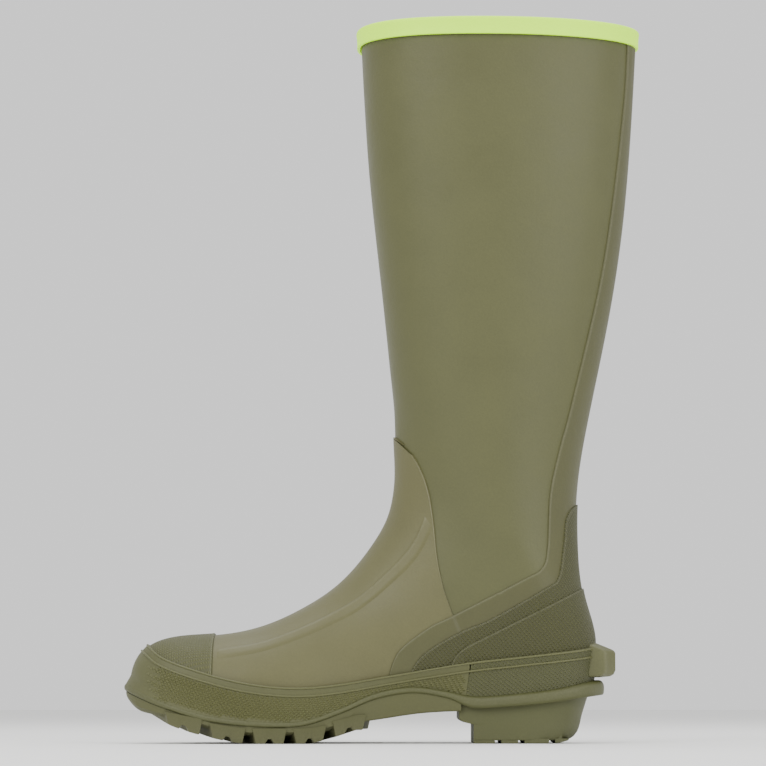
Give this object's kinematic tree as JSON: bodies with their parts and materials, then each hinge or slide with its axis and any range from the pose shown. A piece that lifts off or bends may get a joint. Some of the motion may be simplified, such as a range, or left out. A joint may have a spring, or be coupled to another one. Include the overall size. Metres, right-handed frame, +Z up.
{
  "type": "insulated rubber field boot",
  "caption": "Knee-high insulated rubber field boot for the right foot, with a lugged sole, stacked heel, heel spur and a loose footbed.",
  "frame": {"origin": "on the floor, at the middle of the boot's box seen from above", "axes": "+X towards the heel, so the toe points along -X; -Y towards the inner (medial) side; +Z up the leg"},
  "size_m": [0.331, 0.119, 0.462],
  "materials": {
    "leg_rubber": "satin, olive",
    "vamp_rubber": "satin, olive",
    "toe_rubber": "satin, olive, fine dots",
    "ply_rubber": "satin, olive",
    "backstay_rubber": "satin, dark olive",
    "counter_rubber": "matt, dark olive, diagonal ribs",
    "foxing_rubber": "matt, olive, raised diamonds",
    "welt_rubber": "satin, olive",
    "lug_rubber": "satin, olive",
    "sole_rubber": "matt, dark olive",
    "heel_rubber": "matt, dark olive",
    "sponge_rubber": "matt, sponge",
    "insulation_foam": "matt, closed-cell foam",
    "lining_knit": "fine knit",
    "facing_cloth": "woven tape",
    "binding_tape": "satin, pale yellow-green",
    "fibre_board": "pressed fibre",
    "stiffener_sheet": "matt",
    "shank_steel": "brushed",
    "footbed_foam": "matt, moulded foam",
    "footbed_cloth": "fine knit"
  },
  "bodies": {
    "boot": {"leg_shell": "leg_rubber", "forefoot_shell": "ply_rubber", "leg_insulation": "insulation_foam", "forefoot_insulation": "insulation_foam", "leg_lining": "lining_knit", "forefoot_lining": "lining_knit", "insole_board": "fibre_board", "heel_stiffener": "stiffener_sheet", "vamp": "vamp_rubber", "toe_puff": "ply_rubber", "toe_cap": "toe_rubber", "rib_medial": "vamp_rubber", "rib_lateral": "vamp_rubber", "backstay": "backstay_rubber", "heel_counter": "counter_rubber", "lower_heel_counter": "counter_rubber", "foxing_front": "foxing_rubber", "foxing_heel": "counter_rubber", "foxing_bead": "foxing_rubber", "welt": "welt_rubber", "kick_lug": "lug_rubber", "filler": "sponge_rubber", "shank": "shank_steel", "outsole": "sole_rubber", "heel_block": "heel_rubber", "heel_core": "sponge_rubber", "top_binding": "binding_tape", "top_facing": "facing_cloth"},
    "footbed": {"footbed": "footbed_foam", "footbed_cover": "footbed_cloth"}
  },
  "joints": [
    {"name": "footbed_lift", "type": "hinge", "parent": "boot", "child": "footbed", "pos_m": [-0.1504, 0, 0.034], "axis": [0, -1, 0], "range_deg": [0, 7]}
  ]
}
